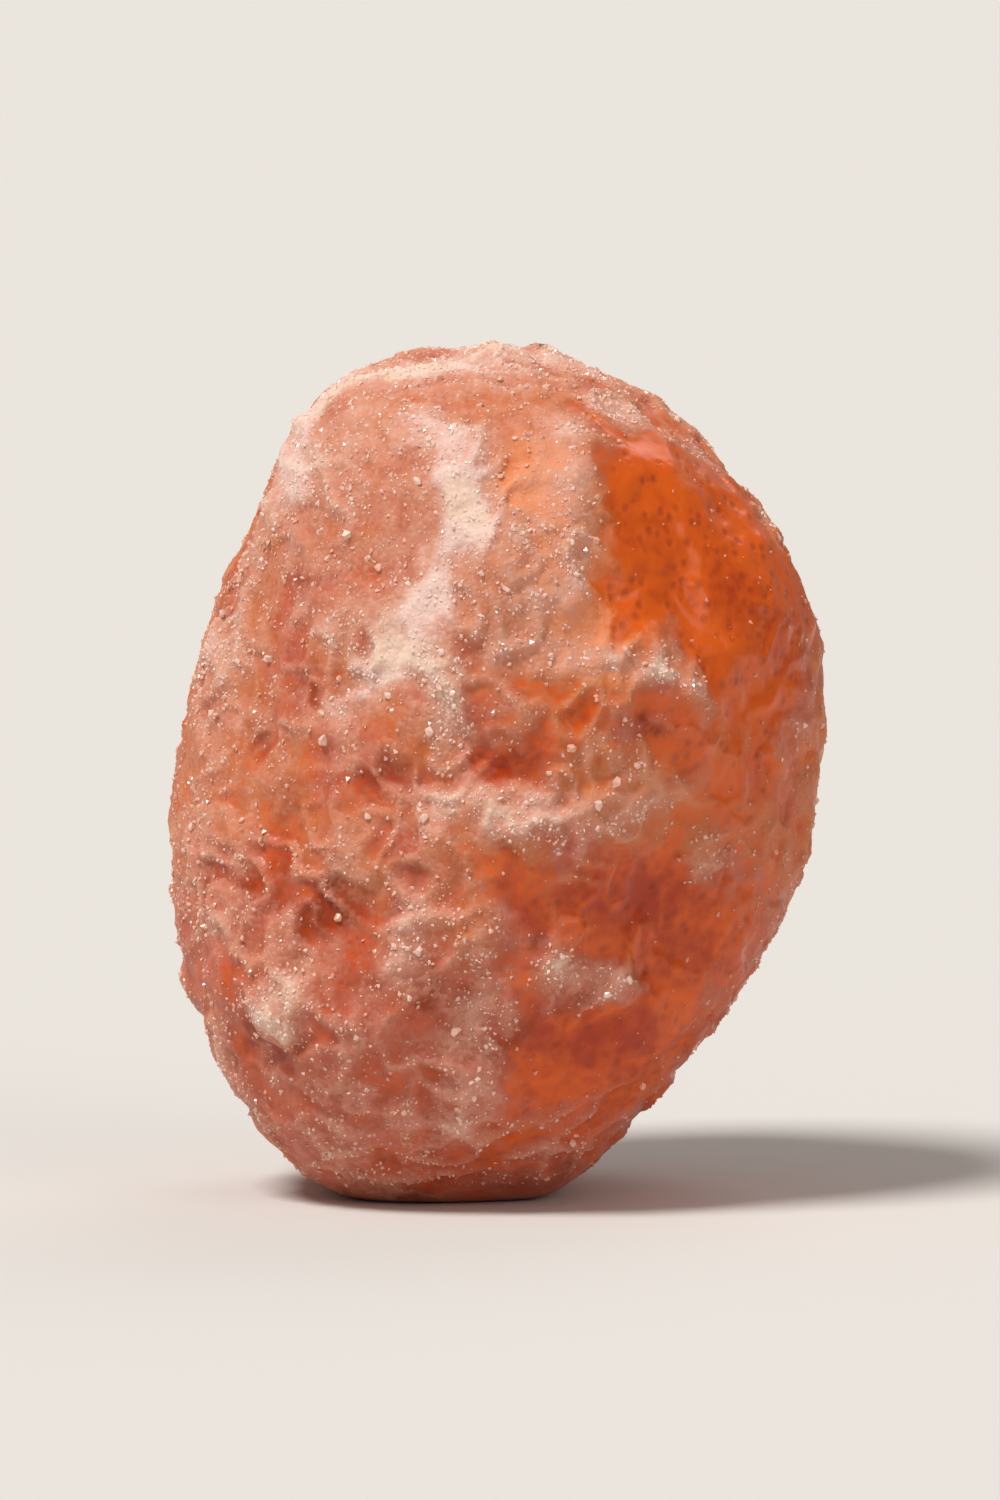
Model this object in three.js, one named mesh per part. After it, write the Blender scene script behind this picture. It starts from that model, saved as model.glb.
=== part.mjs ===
// A dried, sugared kumquat: one small oval citrus fruit, preserved whole, then dried until its peel
// sank into soft cheeks and fine folds, with sugar crusted along the high places. It is one solid.
// Units are millimetres. +Z runs up the fruit to its stem end and -Y is its front. It stands on the
// small flat spot that its blossom end took while it dried, and the origin lies in that spot's plane,
// under the middle of the fruit.
//
// Places on the peel are directions from the fruit's middle: turn is degrees round from the front,
// positive towards +X, and tilt is degrees above the level, so tilt 90 is straight up.

import * as THREE from "three";
import { ImprovedNoise } from "three/addons/math/ImprovedNoise.js";
import { mergeVertices } from "three/addons/utils/BufferGeometryUtils.js";

// Driving dimensions.
const HALF_WIDTH = 9.9; // left to right
const HALF_DEPTH = 9.5; // front to back
const HALF_LENGTH = 14.6; // middle to either end, before the crown and the foot are pressed in
const SQUARENESS = 2.45; // 2 is an ellipsoid; more is a fuller barrel
const BOW = 1.2; // how far both ends lean to -X, as the fruit dried into a slight bend
const FOOT_DROP = 12.6; // middle down to the flat spot
const MESH_DETAIL = 23; // each of 20 starting faces has (MESH_DETAIL + 1) squared triangles

// Cheeks: where the flesh shrank, the peel lies in a soft plane, out millimetres from the middle.
const CHEEK_EDGE = 11; // higher is a sharper edge between two cheeks
const CHEEKS = [
  { turn: 90, tilt: -36, out: 9.9 }, // right foot, the long slant down to the flat spot
  { turn: 84, tilt: 50, out: 12.6 }, // right shoulder
  { turn: -92, tilt: 22, out: 9.7 }, // left flank, nearly straight
  { turn: -90, tilt: -42, out: 12.1 }, // left foot
  { turn: -36, tilt: 10, out: 9.2 }, // broad front left cheek
  { turn: 40, tilt: -6, out: 9.4 }, // front right cheek
  { turn: 6, tilt: -44, out: 12.2 }, // front foot
  { turn: 148, tilt: 10, out: 9.2 }, // broad back right cheek
  { turn: -146, tilt: -10, out: 9.3 }, // back left cheek
  { turn: -138, tilt: 42, out: 11.5 }, // back left shoulder
  { turn: 168, tilt: -44, out: 12.1 }, // back foot
  { turn: -40, tilt: 76, out: 13.3 }, // crown, in front of the stem end
];

// Hollows and swells: round places where the peel sank (rise below 0) or stands proud.
const SWELLS = [
  { turn: 38, tilt: 38, size: 2.7, rise: -0.7 }, // bare upper right hollow
  { turn: 10, tilt: 54, size: 1.3, rise: -0.3 }, // small hollow between the two front ridges
  { turn: 28, tilt: -22, size: 2.3, rise: -0.5 }, // lower right hollow
  { turn: 21, tilt: 12, size: 0.9, rise: -0.3 }, // pit right of the middle crease
  { turn: 18, tilt: -43, size: 1.6, rise: -0.35 }, // bare hollow above the foot
  { turn: -8, tilt: -36, size: 0.9, rise: -0.4 }, // small pit
  { turn: -27, tilt: -22, size: 1.4, rise: -0.35 }, // lower left pit
  { turn: -47, tilt: -43, size: 1.3, rise: -0.4 }, // foot pit on the left
  { turn: -42, tilt: -33, size: 1.0, rise: 0.3 }, // sugar clump beside it
  { turn: -36, tilt: 62, size: 2.0, rise: 0.25 }, // sugared front of the crown
  { turn: 132, tilt: 32, size: 3.2, rise: -0.6 }, // back right hollow
  { turn: -160, tilt: 4, size: 3.2, rise: -0.7 }, // back hollow
  { turn: -108, tilt: -32, size: 2.2, rise: -0.4 }, // left foot hollow
  { turn: 96, tilt: 8, size: 2.6, rise: -0.35 }, // right flank hollow
];

// Folds: lines where the peel creased inwards (rise below 0) or stands up in a ridge.
const FOLDS = [
  { from: [-6, 54], to: [-1, 38], width: 1.1, rise: 0.32 }, // ridge down the front, upper part
  { from: [-1, 38], to: [-18, 14], width: 1.2, rise: 0.32 }, // and its lower part
  { from: [25, 56], to: [17, 36], width: 0.9, rise: 0.32 }, // ridge left of the bare hollow
  { from: [-4, 10], to: [12, 1], width: 0.7, rise: -0.45 }, // short crease near the middle
  { from: [-9, -2], to: [6, -6], width: 0.75, rise: 0.25 }, // lip under that crease
  { from: [35, 25], to: [38, 11], width: 0.7, rise: 0.3 }, // forked lip on the right
  { from: [36, 20], to: [22, 19], width: 0.7, rise: 0.25 }, // and its other arm
  { from: [10, -29], to: [28, -34], width: 0.8, rise: 0.3 }, // low lip on the right
  { from: [-60, 34], to: [-48, -6], width: 1.0, rise: -0.25 }, // shallow left crease
  { from: [150, 46], to: [172, 6], width: 1.0, rise: -0.45 }, // back crease
  { from: [168, 44], to: [-172, 16], width: 1.1, rise: 0.35 }, // lip beside it
  { from: [118, -8], to: [142, -36], width: 1.0, rise: -0.4 }, // low back crease
  { from: [-124, 18], to: [-114, -30], width: 1.1, rise: 0.3 }, // back left ridge
  { from: [70, -24], to: [80, 26], width: 1.0, rise: 0.25 }, // right flank ridge
];
const FOLD_WANDER = { cell: 2.6, seed: 11, by: 0.6 }; // keeps a fold from running dead straight

// Stem end: a small pit with a stub in it and a five-lobed rim, and the peel puckered round it.
const STEM = { turn: 168, tilt: 74, reach: 0.5 }; // reach: cosine of the cone that holds it all
const PIT = { radius: 1.3, depth: 0.8, edge: 0.45 };
const STUB = { radius: 0.5, rise: 0.65 };
const RIM = { radius: 1.8, width: 0.5, rise: 0.35, lobes: 5, lobeShare: 0.45 };
const PUCKER = { folds: 9, radius: 3.6, width: 1.8, rise: 0.22, cell: 4, seed: 5, wander: 3 };

// Puckering of the whole peel. The net is fine ridges round shallow dimples, bent by its warp and
// stronger in some patches than in others; rumples are wider folds; sags are wider still.
const NET = { cell: 1.9, seed: 3, rise: 0.18, sharpness: 2.6, deepest: -0.6 };
const NET_WARP = { cell: 3.1, seed: 23, by: 0.9 };
const NET_PATCH = { cell: 5, seed: 31, least: 0.6, more: 0.8 };
const RUMPLE = { cell: 3.3, seed: 61, rise: 0.2, level: 0.35, sharpness: 2.2 };
const SAG = { cell: 6.5, seed: 47, rise: 0.25 };

const perlin = new ImprovedNoise();

function noiseAt(p, { cell, seed }) {
  return perlin.noise(p.x / cell + seed, p.y / cell + seed, p.z / cell - seed);
}

function direction(turn, tilt) {
  const t = THREE.MathUtils.degToRad(turn);
  const e = THREE.MathUtils.degToRad(tilt);
  return new THREE.Vector3(Math.sin(t) * Math.cos(e), -Math.cos(t) * Math.cos(e), Math.sin(e));
}

// Distance from the middle to the barrel with its cheeks, along a unit direction. Each surface gives
// one over its distance, and a high power mean of those keeps the nearest one with a soft edge.
const cheekPlanes = CHEEKS.map(({ turn, tilt, out }) => ({ faces: direction(turn, tilt), out }));

function reach(u) {
  const barrel =
    (Math.abs(u.x) / HALF_WIDTH) ** SQUARENESS +
    (Math.abs(u.y) / HALF_DEPTH) ** SQUARENESS +
    (Math.abs(u.z) / HALF_LENGTH) ** SQUARENESS;
  let sum = barrel ** (CHEEK_EDGE / SQUARENESS);
  for (const { faces, out } of cheekPlanes) sum += (Math.max(u.dot(faces), 0) / out) ** CHEEK_EDGE;
  return sum ** (-1 / CHEEK_EDGE);
}

const onBarrel = (u) => u.clone().multiplyScalar(reach(u));
const bell = (distance, width) => Math.exp(-((distance / width) ** 2));

const swells = SWELLS.map(({ turn, tilt, size, rise }) => ({
  centre: onBarrel(direction(turn, tilt)),
  size,
  rise,
}));

const swellRise = (p) => swells.reduce((sum, s) => sum + s.rise * bell(p.distanceTo(s.centre), s.size), 0);

// A fold follows the straight line between its ends; lifted to the surface, that line is an arc.
const folds = FOLDS.map(({ from, to, width, rise }) => ({
  line: new THREE.Line3(onBarrel(direction(...from)), onBarrel(direction(...to))),
  width,
  rise,
}));

function foldRise(p) {
  const wander = FOLD_WANDER.by * noiseAt(p, FOLD_WANDER);
  const nearest = new THREE.Vector3();
  let sum = 0;
  for (const { line, width, rise } of folds) {
    line.closestPointToPoint(p, true, nearest).setLength(p.length());
    sum += rise * bell(p.distanceTo(nearest) + wander, width);
  }
  return sum;
}

// The stem end, measured in the plane across its own axis.
const stemAxis = direction(STEM.turn, STEM.tilt);
const stemAcross = new THREE.Vector3(1, 0, 0).cross(stemAxis).normalize();
const stemAlong = stemAxis.clone().cross(stemAcross);

function stemRise(u, p) {
  if (u.dot(stemAxis) < STEM.reach) return 0;
  const across = p.dot(stemAcross);
  const along = p.dot(stemAlong);
  const distance = Math.hypot(across, along);
  const angle = Math.atan2(along, across);
  const outside = THREE.MathUtils.smoothstep(distance, PIT.radius - PIT.edge, PIT.radius + PIT.edge);
  const pit = -PIT.depth * (1 - outside);
  const stub = STUB.rise * bell(distance, STUB.radius);
  const lobe = 1 - RIM.lobeShare + RIM.lobeShare * Math.cos(RIM.lobes * angle);
  const rim = RIM.rise * lobe * bell(distance - RIM.radius, RIM.width);
  const wave = Math.cos(PUCKER.folds * angle + PUCKER.wander * noiseAt(p, PUCKER));
  const pucker = PUCKER.rise * wave * bell(distance - PUCKER.radius, PUCKER.width);
  return pit + stub + rim + pucker;
}

// Ridged noise makes the net: it is highest where the noise crosses zero, along wandering lines.
function netRise(p) {
  const warped = p.clone().addScalar(NET_WARP.by * noiseAt(p, NET_WARP));
  const ridge = Math.max(1 - NET.sharpness * Math.abs(noiseAt(warped, NET)), NET.deepest);
  const patch = NET_PATCH.least + NET_PATCH.more * noiseAt(p, NET_PATCH);
  return NET.rise * patch * ridge;
}

const rumpleRise = (p) => RUMPLE.rise * (RUMPLE.level - Math.abs(RUMPLE.sharpness * noiseAt(p, RUMPLE)));
const sagRise = (p) => SAG.rise * noiseAt(p, SAG);

// Directions are spread over a finely split icosahedron, whose shared corners are merged first.
function peelGeometry() {
  const ball = new THREE.IcosahedronGeometry(1, MESH_DETAIL);
  ball.deleteAttribute("normal");
  ball.deleteAttribute("uv");
  const geometry = mergeVertices(ball, 1e-5);
  const corners = geometry.getAttribute("position");
  const u = new THREE.Vector3();
  for (let i = 0; i < corners.count; i++) {
    u.fromBufferAttribute(corners, i).normalize();
    const p = onBarrel(u);
    const relief = swellRise(p) + foldRise(p) + stemRise(u, p) + netRise(p) + rumpleRise(p) + sagRise(p);
    p.addScaledVector(u, relief);
    const lean = BOW * (p.z / HALF_LENGTH) ** 2;
    corners.setXYZ(i, p.x - lean, p.y, Math.max(p.z, -FOOT_DROP));
  }
  geometry.computeBoundingBox();
  const middle = geometry.boundingBox.getCenter(new THREE.Vector3());
  geometry.translate(-middle.x, -middle.y, FOOT_DROP);
  geometry.computeVertexNormals();
  return geometry;
}

const candiedPeel = new THREE.MeshStandardMaterial({ color: 0xc8602a, roughness: 0.55, metalness: 0 });

const kumquat = new THREE.Mesh(peelGeometry(), candiedPeel);
kumquat.name = "kumquat";

const part = new THREE.Group();
part.add(kumquat);

export default part;
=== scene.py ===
import math

import bpy
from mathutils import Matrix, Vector, noise


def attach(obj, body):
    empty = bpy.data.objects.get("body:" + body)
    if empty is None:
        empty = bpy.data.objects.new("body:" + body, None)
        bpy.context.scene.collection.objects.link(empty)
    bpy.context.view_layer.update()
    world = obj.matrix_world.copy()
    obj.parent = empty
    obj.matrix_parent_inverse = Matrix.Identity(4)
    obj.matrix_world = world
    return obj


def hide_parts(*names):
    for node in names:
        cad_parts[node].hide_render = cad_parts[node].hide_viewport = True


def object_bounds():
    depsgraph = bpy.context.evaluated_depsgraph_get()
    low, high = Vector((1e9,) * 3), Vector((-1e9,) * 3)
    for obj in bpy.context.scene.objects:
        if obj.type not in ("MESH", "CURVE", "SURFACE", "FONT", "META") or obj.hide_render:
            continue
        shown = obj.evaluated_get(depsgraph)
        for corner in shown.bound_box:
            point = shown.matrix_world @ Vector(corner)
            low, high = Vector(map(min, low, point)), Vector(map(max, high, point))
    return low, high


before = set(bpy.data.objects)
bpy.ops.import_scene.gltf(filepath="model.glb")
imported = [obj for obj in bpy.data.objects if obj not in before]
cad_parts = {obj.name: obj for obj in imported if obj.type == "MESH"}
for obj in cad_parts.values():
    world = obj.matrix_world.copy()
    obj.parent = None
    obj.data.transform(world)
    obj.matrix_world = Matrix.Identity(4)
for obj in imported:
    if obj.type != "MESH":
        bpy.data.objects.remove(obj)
cad_low, cad_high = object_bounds()

# The peel. It is the fruit's whole skin, candied in syrup and dried: leathery, clear orange and
# glossy where it is bare, and frosted where the syrup crystallised on it. It is one closed sheet of
# small squares wrapped over the fruit's solid and puckered finely, and it stays flat at the foot.

MM = 0.001
UP = (0.0, 0.0, 1.0)
BACKWARDS = (0.0, 1.0, 0.0)
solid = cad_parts["kumquat"]


class Wire:
    """A socket in a node tree. Arithmetic on wires adds Math nodes, and put adds any other node."""

    def __init__(self, socket):
        self.socket = socket

    def put(self, kind, settings, sockets, out=None):
        """Adds a node: its settings first, then its sockets. Gives its output named out, or its first."""
        node = self.socket.id_data.nodes.new(kind)
        for name, value in settings.items():
            setattr(node, name, value)
        for name, value in sockets.items():
            shown = [s for s in node.inputs if s.name == name and s.enabled]
            target = shown[0] if shown else node.inputs[name]
            if isinstance(value, Wire):
                self.socket.id_data.links.new(value.socket, target)
            elif target.type == "VECTOR" and isinstance(value, (int, float)):
                target.default_value = (value, value, value)
            else:
                target.default_value = value
        return Wire(node.outputs[out] if out else next(s for s in node.outputs if s.enabled))

    def maths(self, operation, other=0.0, out=None):
        """A Math node on this wire and another, or a Vector Math node where either is a vector."""
        kinds = [w.socket.type for w in (self, other) if isinstance(w, Wire)]
        vector = isinstance(other, tuple) or "VECTOR" in kinds or "RGBA" in kinds
        kind = "ShaderNodeVectorMath" if vector else "ShaderNodeMath"
        return self.put(kind, {"operation": operation}, {0: self, 1: other}, out)

    def __add__(self, other):
        return self.maths("ADD", other)

    def __sub__(self, other):
        return self.maths("SUBTRACT", other)

    def __mul__(self, other):
        return self.maths("MULTIPLY", other)

    def __truediv__(self, other):
        return self.maths("DIVIDE", other)

    def __rsub__(self, other):
        return self * -1 + other

    def __rtruediv__(self, other):
        return self.maths("POWER", -1.0) * other

    __radd__ = __add__
    __rmul__ = __mul__

    def dot(self, other):
        return self.maths("DOT_PRODUCT", other, "Value")

    def length(self):
        return self.maths("LENGTH", out="Value")

    def at_least(self, least):
        return self.maths("MAXIMUM", least)

    def at_most(self, most):
        return self.maths("MINIMUM", most)

    def step(self, low, high):
        """0 under low, 1 over high and a smooth rise between them."""
        ends = {"Value": self, "From Min": low, "From Max": high}
        return self.put("ShaderNodeMapRange", {"interpolation_type": "SMOOTHSTEP"}, ends)

    def noise(self, cell, seed, detail=0.0, out=None):
        """Noise with a mean of a half, read at this place, with lumps about cell across."""
        sockets = {"Vector": self + (seed, 0.7 * seed, 1.3 * seed), "Scale": 1 / cell, "Detail": detail}
        return self.put("ShaderNodeTexNoise", {}, sockets, out)

    def cells(self, cell, seed, out):
        """Cells about cell across: Distance from the middle of each, or its own random Color."""
        sockets = {"Vector": self + (seed, 0.7 * seed, 1.3 * seed), "Scale": 1 / cell}
        return self.put("ShaderNodeTexVoronoi", {}, sockets, out)

    def push(self, far, cell, seed):
        """A random way for this place, up to half of far, that changes about every cell."""
        return (self.noise(cell, seed, 1.0, "Color") - (0.5, 0.5, 0.5)) * far

    def ridges(self, cell, seed, sharpness=3.4):
        """1 along thin wandering lines, down to 0 in the cells between them."""
        off_line = (self.noise(cell, seed) * 2 - 1).maths("ABSOLUTE")
        return (1 - off_line * sharpness).at_least(0.0)

    def near(self, start, end, width):
        """1 on the line from start to end, or on the spot where both are, falling off over width."""
        along = end - start
        share = (self - tuple(start)).dot(tuple(along)) / max(along.length_squared, 1e-6)
        off = self - tuple(start) - share.at_most(1.0).at_least(0.0) * tuple(along)
        distance = off.length() / width
        return (distance * distance * -1.0).maths("EXPONENT")


def open_tree(name, inputs):
    """A new geometry tree with these named inputs. Returns it and its inputs as wires."""
    tree = bpy.data.node_groups.new(name, "GeometryNodeTree")
    for label, (kind, _) in inputs.items():
        tree.interface.new_socket(name=label, in_out="INPUT", socket_type=kind)
    tree.interface.new_socket(name="Geometry", in_out="OUTPUT", socket_type="NodeSocketGeometry")
    entry = tree.nodes.new("NodeGroupInput")
    return tree, {label: Wire(entry.outputs[label]) for label in inputs}


def close_tree(tree, geometry, finish, smooth):
    """Ends a tree in real geometry that wears its finish, smooth or with flat facets."""
    real = geometry.put("GeometryNodeRealizeInstances", {}, {"Geometry": geometry})
    if smooth:
        real = real.put("GeometryNodeSetShadeSmooth", {}, {"Geometry": real})
    done = real.put("GeometryNodeSetMaterial", {}, {"Geometry": real, "Material": finish})
    leave = tree.nodes.new("NodeGroupOutput")
    tree.links.new(done.socket, leave.inputs["Geometry"])


def added(name, data):
    """A new object in the scene, at the origin."""
    item = bpy.data.objects.new(name, data)
    bpy.context.scene.collection.objects.link(item)
    return item


def grow(name, tree, inputs):
    """Runs a tree once. Its result is a plain mesh in an object at the origin."""
    piece = added(name, bpy.data.meshes.new(name))
    modifier = piece.modifiers.new(name, "NODES")
    modifier.node_group = tree
    for socket in tree.interface.items_tree:
        if socket.in_out == "INPUT":
            modifier[socket.identifier] = inputs[socket.name][1]
    scene_now = bpy.context.evaluated_depsgraph_get()
    seen = piece.evaluated_get(scene_now)
    made = bpy.data.meshes.new_from_object(seen, preserve_all_data_layers=True, depsgraph=scene_now)
    piece.modifiers.clear()
    piece.data = made
    made.name = name
    return piece


LOOK_DOWN = math.radians(4.5)  # the front marks are placed as seen from this much above the level


def on_front(mark):
    """The place on the peel that shows this far across and up from the foot, in millimetres."""
    way = Vector((0, math.cos(LOOK_DOWN), -math.sin(LOOK_DOWN)))
    _, place, _, _ = solid.ray_cast(Vector((mark[0], 0, mark[1])) * MM - way, way)
    return place / MM


# Where the syrup set thick on the front and where the peel stayed bare: the two ends of a streak, as
# (across, up) in millimetres, its width, and how much it adds to the frost or takes from it.
FROST_MARKS = [
    ((-6.2, 21.6), (-5.5, 24.0), 1.3, 0.90),  # thick sugar down the upper left shoulder
    ((-4.8, 22.6), (-4.0, 20.2), 1.2, 0.24),  # slope under the shoulder
    ((-5.0, 24.2), (-1.0, 25.0), 1.1, 0.52),  # front of the crown
    ((-3.0, 24.9), (1.8, 25.5), 0.8, 0.45),  # edge of the crown
    ((-1.9, 23.2), (-0.9, 20.6), 1.0, 0.78),  # bright ridge down the front
    ((-0.9, 20.6), (-2.2, 18.0), 1.0, 0.72),  # bright ridge, in the middle
    ((-2.2, 18.0), (-3.3, 16.1), 1.0, 0.66),  # bright ridge, where it slants to the left
    ((-3.3, 16.1), (-4.6, 14.8), 0.8, 0.60),  # bright ridge, its lower end
    ((-2.2, 16.0), (-1.7, 14.5), 0.9, 0.76),  # patch beside the ridge's lower end
    ((2.1, 23.0), (2.3, 18.8), 1.0, 0.42),  # second ridge, beside the bare hollow
    ((0.2, 19.2), (1.8, 16.8), 1.3, 0.12),  # slope between the two ridges
    ((-0.8, 16.1), (2.8, 16.4), 0.7, 0.36),  # bottom of that slope
    ((3.2, 23.9), (6.6, 22.2), 0.6, 0.60),  # rim of the right shoulder
    ((7.8, 20.7), (8.9, 19.2), 0.5, 0.90),  # specks near the right edge
    ((8.6, 15.2), (9.2, 14.2), 0.6, 0.30),  # specks lower down the right edge
    ((5.3, 17.6), (5.2, 16.1), 0.7, 0.66),  # forked lip under the bare hollow
    ((5.3, 15.8), (6.3, 14.6), 0.5, 0.60),  # tail of the forked lip
    ((4.8, 15.9), (3.4, 16.1), 0.55, 0.42),  # left arm of the forked lip
    ((2.0, 13.4), (4.2, 13.2), 0.5, 0.36),  # pale spots under the forked lip
    ((-1.9, 11.6), (-0.6, 11.9), 0.6, 0.70),  # lump under the middle crease, its left half
    ((0.3, 11.6), (1.4, 11.5), 0.7, 0.70),  # lump under the middle crease, its right half
    ((2.4, 11.4), (5.4, 12.4), 1.0, 0.36),  # rosy lump to the right of it
    ((6.3, 10.4), (7.0, 9.8), 0.9, 0.64),  # pale lump on the right flank
    ((0.9, 8.1), (2.0, 6.9), 0.5, 0.38),  # low lip on the right, its upper half
    ((2.0, 6.9), (3.7, 6.2), 0.55, 0.54),  # low lip on the right, its lower half
    ((-7.1, 5.6), (-6.2, 6.4), 0.8, 0.80),  # clump near the foot on the left
    ((-8.5, 4.8), (-7.4, 2.4), 0.8, 0.42),  # rim beside the clump
    ((-8.6, 8.2), (-7.6, 7.4), 0.7, 0.18),  # rim above the clump
    ((-3.3, 6.6), (-2.2, 8.4), 0.8, 0.34),  # pale spot low in the middle
    ((-0.9, 6.3), (-1.1, 4.9), 0.8, 0.44),  # pale spot beside it
    ((-0.3, 5.0), (-0.8, 2.2), 0.8, 0.48),  # streak up from the foot
    ((-7.6, 19.0), (-9.0, 9.5), 1.9, 0.42),  # left rim
    ((-5.0, 19.5), (-5.4, 14.5), 2.4, 0.18),  # left cheek, frosted all over
    ((-5.9, 17.6), (-4.9, 16.9), 0.7, 0.34),  # thicker middle of the left cheek
    ((7.0, 17.0), (7.4, 4.0), 3.6, -0.48),  # right side, thinly frosted
    ((-8.0, 9.5), (4.0, 3.5), 3.2, -0.22),  # lower half, a little thinner
    ((4.4, 21.2), (5.2, 18.6), 1.5, -1.10),  # bare glossy hollow
    ((2.8, 18.4), (4.2, 17.3), 0.7, -0.45),  # lower end of the bare hollow
    ((7.4, 20.6), (8.2, 16.0), 1.5, -0.75),  # bare right flank beside the hollow
    ((3.0, 8.8), (6.2, 8.0), 1.3, -0.72),  # dark hollow at the lower right
    ((0.6, 10.0), (0.9, 7.8), 0.8, -0.35),  # thin frost beside the dark hollow
    ((1.8, 4.4), (4.8, 5.2), 1.1, -0.95),  # bare patch above the foot
    ((0.8, 15.1), (1.8, 14.3), 0.8, -0.22),  # clearer peel above the middle crease
    ((-0.8, 12.8), (0.9, 13.3), 0.5, -0.30),  # middle crease
]

# Painted shade on the front, in the same way: in pits, creases, grooves and hollows, with some brown
# spots;
# where the amount is less than 0, it is painted light.
SHADE_AND_BROWN_MARKS = [
    ((0.0, 23.2), (0.6, 21.8), 0.7, 0.35),  # hollow between the two ridges
    ((-0.8, 12.7), (0.9, 13.3), 0.5, 1.0),  # middle crease
    ((0.8, 15.2), (1.8, 14.3), 0.8, 0.25),  # clearer peel above the middle crease
    ((3.0, 14.6), (4.2, 14.3), 0.6, 0.9),  # pit to the right of it
    ((4.8, 14.0), (6.2, 13.0), 0.5, 0.4),  # groove under the forked lip
    ((7.2, 18.2), (9.0, 16.4), 1.2, 0.5),  # right flank
    ((2.2, 9.4), (5.8, 8.0), 1.2, 0.46),  # lower right hollow
    ((3.8, 9.6), (5.4, 9.2), 0.6, 0.45),  # darkest part of that hollow
    ((1.2, 5.0), (4.4, 4.6), 1.0, 0.55),  # bare patch above the foot
    ((-2.2, 5.8), (-1.8, 5.9), 0.5, 0.5),  # small pit low in the middle
    ((-7.3, 4.9), (-6.4, 4.3), 0.5, 0.8),  # pit under the clump
    ((-5.0, 8.9), (-4.5, 8.4), 0.8, 0.75),  # lower left pit
    ((-8.2, 10.0), (-6.4, 8.8), 1.2, 0.5),  # shadowed side beside that pit
    ((0.2, 10.2), (0.8, 7.6), 0.8, 0.5),  # shallow groove down the middle
    ((-4.6, 12.6), (-2.4, 12.8), 0.6, 0.40),  # brown spots on the left
    ((-5.8, 18.6), (-4.8, 18.3), 0.6, 0.45),  # brown spots high on the left
    ((-6.4, 16.4), (-5.8, 15.4), 0.6, 0.5),  # brown spots between those
    ((0.8, 21.8), (2.6, 16.4), 1.6, -1.1),  # pale slope between the ridge and the hollow
    ((3.0, 13.0), (6.0, 12.0), 1.2, -0.4),  # rosy lump on the right
]

# Where the stem broke off, a little behind the crown.
STEM_WAY = Vector((0.0573, 0.2696, 0.9613))
_, scar, _, _ = solid.ray_cast((cad_low + cad_high) / 2, STEM_WAY)
scar = scar / MM
SCAR_RADIUS = 0.9  # how far the peel is brown round it, in millimetres

# The finish: bare peel is clear orange to brick red and glossy; a thin film of set syrup turns it
# salmon; a thick one is pinkish white and matt. Colours are linear.
# Of these, PALE_PEACH is painted light, and BARE_RED, ROSE and DARK_FILM are in part painted shade.
BARE_ORANGE = (0.74, 0.112, 0.003, 1.0)
BARE_RED = (0.44, 0.036, 0.002, 1.0)
PORE_BROWN = (0.26, 0.026, 0.003, 1.0)
PEACH = (0.60, 0.185, 0.075, 1.0)
PALE_PEACH = (0.84, 0.300, 0.130, 1.0)
ROSE = (0.55, 0.150, 0.095, 1.0)
DARK_FILM = (0.30, 0.042, 0.009, 1.0)
BLOOM = (0.68, 0.315, 0.220, 1.0)
SUGAR_PINK = (0.84, 0.60, 0.54, 1.0)
SUGAR_CREAM = (0.86, 0.63, 0.505, 1.0)
SCAR_BROWN = (0.17, 0.085, 0.035, 1.0)

# How large the patches of each colour and the fine marks in the surface are, in millimetres.
MOTTLE = 1.2  # thicker and thinner frost
RED_PATCH, RED_SPECK = 1.6, 0.4
ROSY_PATCH = 1.8
DARK_PATCH = 1.2
CREAM_PATCH = 2.0
PORE = 0.50
CRUST_GRAIN = 0.15
ORANGE_PEEL = 0.3  # the dimpling between the pores
BUMP_HEIGHT = 0.07


def new_finish(name, constants):
    """A new material with these values on its shader. Returns both."""
    material = bpy.data.materials.new(name)
    material.use_nodes = True
    shader = material.node_tree.nodes["Principled BSDF"]
    for socket, value in constants.items():
        shader.inputs[socket].default_value = value
    return material, shader


def feed(shader, wires):
    """Links these wires to the shader's sockets."""
    for socket, wire in wires.items():
        shader.id_data.links.new(wire.socket, shader.inputs[socket])


def mixed(share, first, second):
    """A colour between first and second."""
    sockets = {"Factor": share, "A": first, "B": second}
    return share.put("ShaderNodeMix", {"data_type": "RGBA"}, sockets)


def attribute(shader, name):
    """A value that the mesh holds under this name."""
    return Wire(shader.outputs[0]).put("ShaderNodeAttribute", {"attribute_name": name}, {}, "Fac")


def place_on(shader):
    """The place on the piece, in millimetres."""
    return Wire(shader.outputs[0]).put("ShaderNodeTexCoord", {}, {}, "Object") / MM


def bumped(height, strength, distance):
    """The normal of a surface with this relief."""
    sockets = {"Strength": strength, "Distance": distance * MM, "Height": height}
    return height.put("ShaderNodeBump", {}, sockets)


peel_finish, peel_shader = new_finish("candied_peel", {
    "Subsurface Weight": 0.25,
    "Subsurface Radius": (1.0, 0.30, 0.12),
    "Subsurface Scale": 1.0 * MM,
    "IOR": 1.47,
    "Specular IOR Level": 0.18,
    "Coat Roughness": 0.20,
})
place = place_on(peel_shader)
frost = attribute(peel_shader, "frost")
# Painted shade held on the peel: darker in its folds and low down, and below 0 painted light on its
# crests.
depth = attribute(peel_shader, "depth")
mottle = place.noise(MOTTLE, seed=5, detail=2)
chip = place.cells(CRUST_GRAIN, 7, "Color").dot((1.0, 0.0, 0.0))
bead = place.cells(CRUST_GRAIN, 7, "Distance")
pore = 1 - place.cells(PORE, 9, "Distance").step(0.05, 0.42)
cover = frost + (mottle - 0.5) * 0.7 + (chip - 0.5) * 0.28
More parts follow.
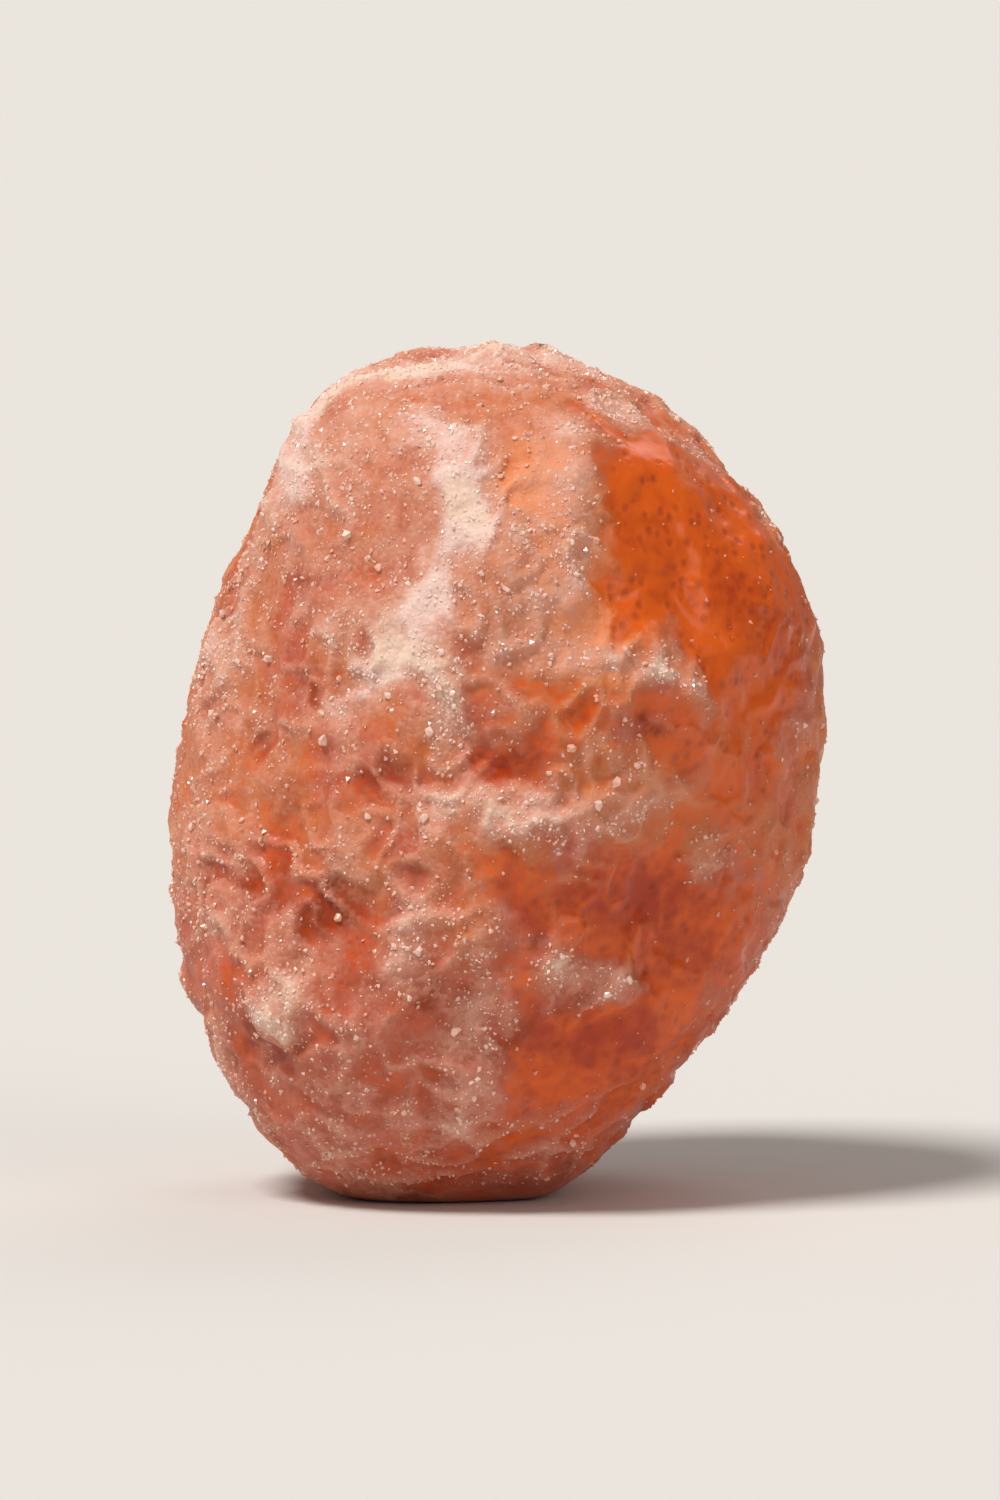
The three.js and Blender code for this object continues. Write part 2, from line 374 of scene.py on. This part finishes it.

# The clear peel: orange to red in patches, orange on its crests as painted light and red in its folds
# and low down as painted shade, with a dark dot at each pore.
red_patch = place.noise(RED_PATCH, seed=17, detail=3) - 0.5
red_speck = place.noise(RED_SPECK, seed=19, detail=2) - 0.5
red = red_patch * 1.6 + red_speck * 1.1 + depth + 0.12
bare = mixed(red.step(0.0, 1.2), BARE_ORANGE, BARE_RED)
bare = mixed(pore * 0.40, bare, PORE_BROWN)

# The film over it: rosy, and dark, in patches; pale on the crests and higher up as painted light;
# rosier and dark in the folds, pits and low down as painted shade.
lower = 1 - place.dot(UP).step(4.0, 12.0)
rosy = place.noise(ROSY_PATCH, seed=25, detail=2) * 1.4 - 0.25 + depth * 0.5 + lower * 0.3
film = mixed(rosy.step(0.2, 0.8), PEACH, ROSE)
film = mixed((0 - depth).step(0.2, 0.9), film, PALE_PEACH)
dark = depth + (place.noise(DARK_PATCH, seed=29, detail=2) - 0.5) * 2.2 - 0.05
film = mixed(dark.step(0.0, 1.0), film, DARK_FILM)

# Bare peel, film, bloom and sugar follow each other as the cover grows thicker.
colour = mixed(cover.step(-0.1, 0.50), bare, film)
colour = mixed(cover.step(0.30, 1.00), colour, BLOOM)
sugar = mixed(place.noise(CREAM_PATCH, seed=35).step(0.4, 0.6), SUGAR_PINK, SUGAR_CREAM)
colour = mixed(cover.step(0.80, 1.60), colour, sugar)
colour = mixed(place.near(scar, scar, SCAR_RADIUS).step(0.35, 0.75) * 0.85, colour, SCAR_BROWN)

filmed = cover.step(-0.1, 0.5)
crust = (1 - bead) * (0.3 + chip * 0.7) * cover.step(0.1, 0.8)
rough = crust - pore * (0.8 - filmed * 0.5) + place.noise(ORANGE_PEEL, seed=21, detail=1) * 0.4
feed(peel_shader, {
    "Base Color": colour,
    "Roughness": 0.30 + cover.step(0.0, 0.7) * 0.32,
    "Coat Weight": 0.50 - filmed * 0.48,
    "Normal": bumped(rough, 0.6, BUMP_HEIGHT),
})

PEEL = {
    "Solid": ("NodeSocketObject", solid),
    "Middle": ("NodeSocketVector", (cad_low + cad_high) / 2),
    "Grid": ("NodeSocketInt", 129),  # corners along each edge of the six squares
    "Facet smoothing": ("NodeSocketInt", 14),  # passes that even out the solid's flat facets
    "Sag smoothing": ("NodeSocketInt", 150),  # passes that leave only the fruit's broad form
    "Net cell": ("NodeSocketFloat", 1.30),  # from here on in millimetres
    "Net height": ("NodeSocketFloat", 0.17),
    "Pucker height": ("NodeSocketFloat", 0.34),
    "Crinkle cell": ("NodeSocketFloat", 0.55),
    "Crinkle height": ("NodeSocketFloat", 0.025),
    "Crust height": ("NodeSocketFloat", 0.10),
    "Foot band": ("NodeSocketFloat", 1.0),
    "Finish": ("NodeSocketMaterial", peel_finish),
}
RAY_LENGTH = 1.0  # in metres, which is well past the peel
LEAST_FROST, MOST_FROST = -0.3, 1.5

# The sizes that stay as they are, in millimetres.
CURVE_LOSS = 0.16  # how far under the surface the broad form lies, because the fruit is round
WANDER = 1.7  # how far the lines of the net wander, and how long their bends are
FRAY, FRAY_CELL = 0.6, 0.7  # the same for the edges of the marks
NET_PATCH = 3.6  # how wide the places are where the net is strong or weak
BROAD_PATCH, SMALL_PATCH = 6.0, 1.5  # of thicker and thinner frost
STREAK = 2.4
PUCKER = 1.5
CRUST_LUMP = 0.6
CROWN_START, CROWN_TOP = 24.2, 25.6  # how high up the frost thickens


def moved(geometry, **where):
    """The geometry with its corners at Position, or moved by Offset."""
    return geometry.put("GeometryNodeSetPosition", {}, {"Geometry": geometry, **where})


def blurred(value, passes):
    """The value evened out between neighbouring corners, this many times."""
    sockets = {"Value": value, "Iterations": passes}
    return value.put("GeometryNodeBlurAttribute", {"data_type": "FLOAT_VECTOR"}, sockets)


def held(wire, name):
    """The value that the corners hold under this name."""
    return wire.put("GeometryNodeInputNamedAttribute", {"data_type": "FLOAT"}, {"Name": name})


def stored(geometry, name, value):
    """The geometry with a value held on its corners under this name, and the wire that reads it."""
    corners = {"data_type": "FLOAT", "domain": "POINT"}
    sockets = {"Geometry": geometry, "Name": name, "Value": value}
    return geometry.put("GeometryNodeStoreNamedAttribute", corners, sockets), held(geometry, name)


def marked(value, frayed, marks):
    """The value with what each front mark adds to it or takes from it at this frayed place."""
    for start, end, width, amount in marks:
        value = value + frayed.near(on_front(start), on_front(end), width) * amount
    return value


peel_tree, port = open_tree("wrinkled_peel", PEEL)
grid = port["Grid"]
cube_size = {"Size": 2.0, "Vertices X": grid, "Vertices Y": grid, "Vertices Z": grid}
skin = grid.put("GeometryNodeMeshCube", {}, cube_size)
spot = grid.put("GeometryNodeInputPosition", {}, {})
facing = grid.put("GeometryNodeInputNormal", {}, {})

# The cube's corners go out to the solid, spread so that the squares come out much the same size.
outward = (spot * (math.pi / 4)).maths("TANGENT")
ray = {
    "Target Geometry": grid.put("GeometryNodeObjectInfo", {}, {"Object": port["Solid"]}, "Geometry"),
    "Source Position": port["Middle"],
    "Ray Direction": outward,
    "Ray Length": RAY_LENGTH,
}
skin = moved(skin, Position=grid.put("GeometryNodeRaycast", {}, ray, "Hit Position"))
skin = moved(skin, Position=blurred(spot, port["Facet smoothing"]))
rise = (spot - blurred(spot, port["Sag smoothing"])).dot(facing) / MM - CURVE_LOSS
skin, crest = stored(skin, "crest", rise)  # held, so that the long smoothing runs once

place = spot / MM
bent = place + place.push(WANDER, WANDER, 40.0)
net = bent.ridges(port["Net cell"], 3.0) * (0.45 + place.noise(NET_PATCH, 63.0).step(0.35, 0.6) * 0.55)
crinkle = bent.ridges(port["Crinkle cell"], 13.0)

# Frost lies on the crests and the net, in streaks behind, on top of the crown and as marked.
broad = place.noise(BROAD_PATCH, 27.0) - 0.5
small = bent.noise(SMALL_PATCH, 33.0, 1.0) - 0.5
frost = 0.50 + (broad * 0.5 + small * 0.5) + crest * 0.6 + (net - 0.35) * 0.35
behind = place.dot(BACKWARDS).step(-5.0, 1.0)
streaks = (bent * (1.0, 1.0, 0.5)).noise(STREAK, 57.0, 2.0).step(0.50, 0.72)
on_top = place.dot(UP).step(CROWN_START, CROWN_TOP)
frost = frost + (streaks * 0.65 - 0.05) * behind + on_top * 0.25
frayed = bent + place.push(FRAY, FRAY_CELL, 45.0)
frost = marked(frost, frayed, FROST_MARKS)
# Painted shade: darker in the folds, between the net's lines and low down; below 0, painted light on
# crests.
depth = 0.18 - crest * 0.6 - (net - 0.35) * 0.4 - place.dot(UP).step(3.0, 14.0) * 0.3
skin, _ = stored(skin, "depth", marked(depth, frayed, SHADE_AND_BROWN_MARKS))
skin, frost = stored(skin, "frost", frost.at_least(LEAST_FROST).at_most(MOST_FROST))

# The relief: the net, the crinkles and the puckers, lower where the peel is bare, and the crust.
above_foot = place.dot(UP).step(0.1, port["Foot band"])
lumps = bent.noise(CRUST_LUMP, 51.0, 1.0) * 2.2 - 0.4
pucker = bent.noise(PUCKER, 67.0, 1.0) - 0.5
relief = (net - 0.3) * port["Net height"] + (crinkle - 0.3) * port["Crinkle height"]
relief = relief + pucker * port["Pucker height"]
relief = relief * (0.55 + frost.step(LEAST_FROST, 0.4) * 0.45)
relief = (relief + frost.at_least(0.0) * lumps * port["Crust height"]) * above_foot
skin = moved(skin, Offset=facing * (relief * MM))
skin = moved(skin, Position=spot.at_least((-1.0, -1.0, 0.0)))  # nothing goes under the floor
close_tree(peel_tree, skin, port["Finish"], smooth=True)

peel = grow("peel", peel_tree, PEEL)
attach(peel, "root")
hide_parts("kumquat")

# The stem button. It is the dry woody calyx that stayed on when the fruit was picked: five short
# points round the broken end of the stem, pressed into the pit behind the crown.

BUTTON_REACH = 1.1  # from the middle to the tips of its points, in millimetres as all these are
BUTTON_WAIST = 0.72
BUTTON_POINTS = (1.0, 0.82, 1.08, 0.7, 0.95)  # how far each of the five stands out
BUTTON_EDGE = 0.05
BUTTON_CROWN = 0.08
BUTTON_TAPER = 1.2  # how sharply its points narrow
BUTTON_SWAY = 0.22  # how far its outline strays in and out
BUTTON_BENDS = 1.7  # how many bends that has to a millimetre
BUTTON_DRAW = Vector((5, 0, 0))  # which stretch of the noise it is drawn from
BUTTON_GROOVE = 0.03
BUTTON_LUMPS = ((0.05, 6), (0.03, 14))  # how high each kind is, and how many to a millimetre
STEM_RADIUS = 0.50
STEM_HEIGHT = 0.16
STEM_EDGE = 0.10
BUTTON_ROOT = 0.15  # how far it goes down into the peel
CLEAR_OF_PEEL = 3  # how far off the rays start that find the peel
RINGS, SPOKES = 22, 120

upright = STEM_WAY.to_track_quat("Z", "Y").to_matrix()


def out_from_stem(radius, turn):
    """The way from the stem's middle to a place this far out and this far round."""
    return upright @ Vector((radius * math.cos(turn), radius * math.sin(turn), 0))


def button_corner(share, spoke):
    """Where this spoke meets the peel at this share of its reach, and how thick the button is there."""
    turn = 2 * math.pi * spoke / SPOKES
    points = len(BUTTON_POINTS)
    stands_out = BUTTON_POINTS[round(points * spoke / SPOKES) % points]
    point = stands_out * (0.5 + 0.5 * math.cos(points * turn)) ** BUTTON_TAPER
    radius = share * (BUTTON_WAIST + (BUTTON_REACH - BUTTON_WAIST) * point)
    sway = noise.noise(out_from_stem(radius, turn) * BUTTON_BENDS + BUTTON_DRAW)
    radius += BUTTON_SWAY * share * sway
    spot = scar + out_from_stem(radius, turn)
    _, seat, _, _ = peel.ray_cast((spot + STEM_WAY * CLEAR_OF_PEEL) * MM, -STEM_WAY)
    stem = min(max((STEM_RADIUS - radius) / STEM_EDGE, 0.0), 1.0)
    rough = sum(height * noise.noise(spot * many) for height, many in BUTTON_LUMPS)
    groove = BUTTON_GROOVE * math.cos(4 * points * turn) * share
    thick = BUTTON_EDGE + BUTTON_CROWN * (1 - share * share) + STEM_HEIGHT * stem * stem * (3 - 2 * stem)
    return seat / MM, thick + rough + groove


top, under = [], []
for ring in range(1, RINGS + 1):
    for spoke in range(SPOKES):
        seat, thick = button_corner(ring / RINGS, spoke)
        top.append((seat + STEM_WAY * thick) * MM)
        under.append((seat - STEM_WAY * BUTTON_ROOT) * MM)
seat, thick = button_corner(0.0, 0)
corners = top + under + [(seat + STEM_WAY * thick) * MM, (seat - STEM_WAY * BUTTON_ROOT) * MM]
many = len(top)
faces = []
for spoke in range(SPOKES):
    after = (spoke + 1) % SPOKES
    faces.append((spoke, after, 2 * many))
    faces.append((many + after, many + spoke, 2 * many + 1))
    for ring in range(RINGS - 1):
        inner, outer = ring * SPOKES, (ring + 1) * SPOKES
        faces.append((inner + after, inner + spoke, outer + spoke, outer + after))
        square = (inner + spoke, inner + after, outer + after, outer + spoke)
        faces.append(tuple(many + corner for corner in square))
    rim = (RINGS - 1) * SPOKES
    faces.append((rim + after, rim + spoke, many + rim + spoke, many + rim + after))
button_mesh = bpy.data.meshes.new("stem_button")
button_mesh.from_pydata(corners, [], faces)
button_mesh.polygons.foreach_set("use_smooth", [True] * len(faces))
button = added("stem_button", button_mesh)

DRY_BROWN = (0.095, 0.048, 0.022, 1.0)
DRY_OLIVE = (0.215, 0.135, 0.058, 1.0)
PITH = (0.480, 0.340, 0.200, 1.0)
button_finish, button_shader = new_finish("dry_calyx", {})
place = place_on(button_shader)
streak = place.noise(0.35, seed=3, detail=3)
calyx = mixed(streak.step(0.35, 0.65), DRY_BROWN, DRY_OLIVE)
off_stem = (place - tuple(scar)).maths("CROSS_PRODUCT", tuple(STEM_WAY)).length()
broken_end = 1 - off_stem.step(STEM_RADIUS * 0.6, STEM_RADIUS * 0.85)
calyx = mixed(broken_end * place.noise(0.12, seed=8, detail=1).step(0.3, 0.6), calyx, PITH)
dusted = mixed(place.noise(0.28, seed=12, detail=2).step(0.56, 0.64) * 0.7, calyx, SUGAR_PINK)
feed(button_shader, {
    "Base Color": dusted,
    "Roughness": 0.6 + streak * 0.3,
    "Normal": bumped(place.noise(0.1, seed=15, detail=2) + streak, 0.6, 0.05),
})
button_mesh.materials.append(button_finish)
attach(button, "root")

# The sugar. Grains of it dried on with the syrup: small blocky crystals, each set a little way into
# the frost, thickest on the crests and streaks and almost none where the peel is bare.

CLEAR_SALMON = (0.76, 0.34, 0.22, 1.0)
WHITE_SUGAR = (0.92, 0.71, 0.62, 1.0)
sugar_finish, sugar_shader = new_finish("sugar_crystal", {
    "Roughness": 0.22,
    "IOR": 1.55,
    "Subsurface Weight": 0.3,
    "Subsurface Radius": (1.0, 1.0, 1.0),
    "Subsurface Scale": 0.03 * MM,
})
tint = attribute(sugar_shader, "tint").step(0.1, 1.1)
feed(sugar_shader, {"Base Color": mixed(tint, CLEAR_SALMON, WHITE_SUGAR)})

GRAINS = {
    "Peel": ("NodeSocketObject", peel),
    "Per square mm": ("NodeSocketFloat", 40.0),
    "Seed": ("NodeSocketInt", 7),
    "Sides": ("NodeSocketInt", 4),
    "Least frost": ("NodeSocketFloat", 0.10),
    "Smallest": ("NodeSocketFloat", 0.08),  # from here on in millimetres
    "Largest": ("NodeSocketFloat", 0.22),
    "Foot band": ("NodeSocketFloat", 0.5),
    "Finish": ("NodeSocketMaterial", sugar_finish),
}
LUMPS = GRAINS | {
    "Per square mm": ("NodeSocketFloat", 1.2),
    "Seed": ("NodeSocketInt", 31),
    "Sides": ("NodeSocketInt", 5),
    "Smallest": ("NodeSocketFloat", 0.18),
    "Largest": ("NodeSocketFloat", 0.40),
}
CRYSTAL_SHAPES = 8
CRYSTAL_SHIFT = 0.16  # how far a corner of a crystal is knocked about, as a share of its size
CRYSTAL_DEPTH = (0.7, 1.0)  # least and most, as shares of its length
CRYSTAL_HEIGHT = (0.55, 0.9)
CLUSTER = 0.9  # how wide the clusters of crystals are, in millimetres
STRAYS = 0.02  # the share of them that fall on bare peel


def chance(wire, low, high, seed):
    """A random value between low and high for each crystal."""
    sockets = {"Min": low, "Max": high, "Seed": seed}
    return wire.put("FunctionNodeRandomValue", {"data_type": "FLOAT"}, sockets)


def sprinkle(name, inputs):
    """Crystals over the peel, as many and as large as these inputs say."""
    tree, port = open_tree(name, inputs)
    seed = port["Seed"]
    skin = seed.put("GeometryNodeObjectInfo", {}, {"Object": port["Peel"]}, "Geometry")
    frost = held(seed, "frost")
    place = seed.put("GeometryNodeInputPosition", {}, {}) / MM
    above_foot = place.dot(UP).step(port["Foot band"], port["Foot band"] + 0.3)
    clusters = place.noise(CLUSTER, 61.0, 1.0).step(0.35, 0.65)
    share = (frost.step(port["Least frost"], 1.0) * (0.25 + clusters * 0.75) + STRAYS) * above_foot
    spread = {"Mesh": skin, "Density": share * port["Per square mm"] / (MM * MM), "Seed": seed}
    by_chance = {"distribute_method": "RANDOM"}
    points = seed.put("GeometryNodeDistributePointsOnFaces", by_chance, spread, "Points")
    points, _ = stored(points, "tint", frost * 0.7 + chance(seed, 0.0, 0.35, seed))

    skew = chance(seed, 0.0, 1.0, seed + 1)
    length = port["Smallest"] + (port["Largest"] - port["Smallest"]) * skew * skew * skew
    sides = {
        0: length,
        1: length * chance(seed, *CRYSTAL_DEPTH, seed + 2),
        2: length * chance(seed, *CRYSTAL_HEIGHT, seed + 3),
    }
    turns = {i: chance(seed, 0.0, 2 * math.pi, seed + 4 + i) for i in range(3)}
    several = seed.put("GeometryNodeJoinGeometry", {}, {})
    for shape in range(CRYSTAL_SHAPES):
        size = {"Radius": 0.5, "Segments": port["Sides"], "Rings": port["Sides"] - 2}
        ball = seed.put("GeometryNodeMeshUVSphere", {}, size)
        shift = {"Min": (-CRYSTAL_SHIFT,) * 3, "Max": (CRYSTAL_SHIFT,) * 3, "Seed": shape}
        knocked = seed.put("FunctionNodeRandomValue", {"data_type": "FLOAT_VECTOR"}, shift)
        one = seed.put("GeometryNodeGeometryToInstance", {}, {"Geometry": moved(ball, Offset=knocked)})
        tree.links.new(one.socket, several.socket.node.inputs[0])
    crystals = seed.put("GeometryNodeInstanceOnPoints", {}, {
        "Points": points,
        "Instance": several,
        "Pick Instance": True,
        "Rotation": seed.put("ShaderNodeCombineXYZ", {}, turns),
        "Scale": seed.put("ShaderNodeCombineXYZ", {}, sides) * MM,
    })
    close_tree(tree, crystals, port["Finish"], smooth=False)
    piece = grow(name, tree, inputs)
    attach(piece, "root")


sprinkle("sugar_grains", GRAINS)
sprinkle("sugar_lumps", LUMPS)

# The studio. A plain pale floor that runs on past the picture, three wide soft lamps, the strongest
# from the upper left, and a camera that looks down on the fruit a little.

FRAME_WIDTH = 30.5 * MM  # how much of the scene the picture's width takes in, at the fruit
ASPECT = 1500 / 1000
SENSOR = 36.0  # in millimetres of the camera's own
CAMERA_DISTANCE = 0.32
LOOK_HEIGHT = 0.52  # of the fruit's own height
FLOOR_REACH = 20.0
FLOOR_SHADE = (0.70, 0.688, 0.672, 1.0)
ROOM_LIGHT = 0.24
ROOM_SHADE = 0.84  # how bright the room itself looks, which is as bright as the floor
ROOM_WARM = (1.0, 0.95, 0.90, 1.0)  # the light that it gives
ROOM_PALE = (1.0, 0.985, 0.965, 1.0)  # how it looks itself

floor_mesh = bpy.data.meshes.new("floor")
corners = [(x, y, 0) for x, y in ((-1, -1), (1, -1), (1, 1), (-1, 1))]
floor_mesh.from_pydata([Vector(c) * FLOOR_REACH for c in corners], [], [(0, 1, 2, 3)])
floor = added("floor", floor_mesh)
matt = {"Base Color": FLOOR_SHADE, "Roughness": 0.8, "Specular IOR Level": 0.0}
floor_finish, _ = new_finish("pale_floor", matt)
floor_mesh.materials.append(floor_finish)


def lamp(name, place, softness, strength, colour):
    """A wide soft light from the way of this place. It lights the whole floor evenly."""
    light = bpy.data.lights.new(name, "SUN")
    light.angle, light.energy, light.color = math.radians(softness), strength, colour
    added(name, light).rotation_euler = (-Vector(place)).to_track_quat("-Z", "Y").to_euler()


lamp("key_light", (-0.185, -0.155, 0.40), 17.0, 2.85, (1.0, 0.97, 0.92))
lamp("fill_light", (0.30, -0.30, 0.20), 32.0, 0.42, (1.0, 0.90, 0.82))
lamp("back_light", (0.10, 0.22, 0.26), 40.0, 0.46, (1.0, 0.98, 0.95))

world = bpy.data.worlds.new("studio")
world.use_nodes = True
room = world.node_tree.nodes["Background"]
seen_itself = Wire(room.outputs[0]).put("ShaderNodeLightPath", {}, {}, "Is Camera Ray")
feed(room, {
    "Strength": ROOM_LIGHT + seen_itself * (ROOM_SHADE - ROOM_LIGHT),
    "Color": mixed(seen_itself, ROOM_WARM, ROOM_PALE),
})
bpy.context.scene.world = world
bpy.context.scene.view_settings.view_transform = "Standard"

camera_data = bpy.data.cameras.new("camera")
camera_data.sensor_width = SENSOR
camera_data.lens = SENSOR * CAMERA_DISTANCE / (FRAME_WIDTH * ASPECT)
camera_data.clip_start = 0.01
camera = added("camera", camera_data)
look_at = Vector((0, 0, (cad_high.z - cad_low.z) * LOOK_HEIGHT))
away = Vector((0, -math.cos(LOOK_DOWN), math.sin(LOOK_DOWN)))
camera.location = look_at + away * CAMERA_DISTANCE
camera.rotation_euler = (-away).to_track_quat("-Z", "Y").to_euler()
bpy.context.scene.camera = camera
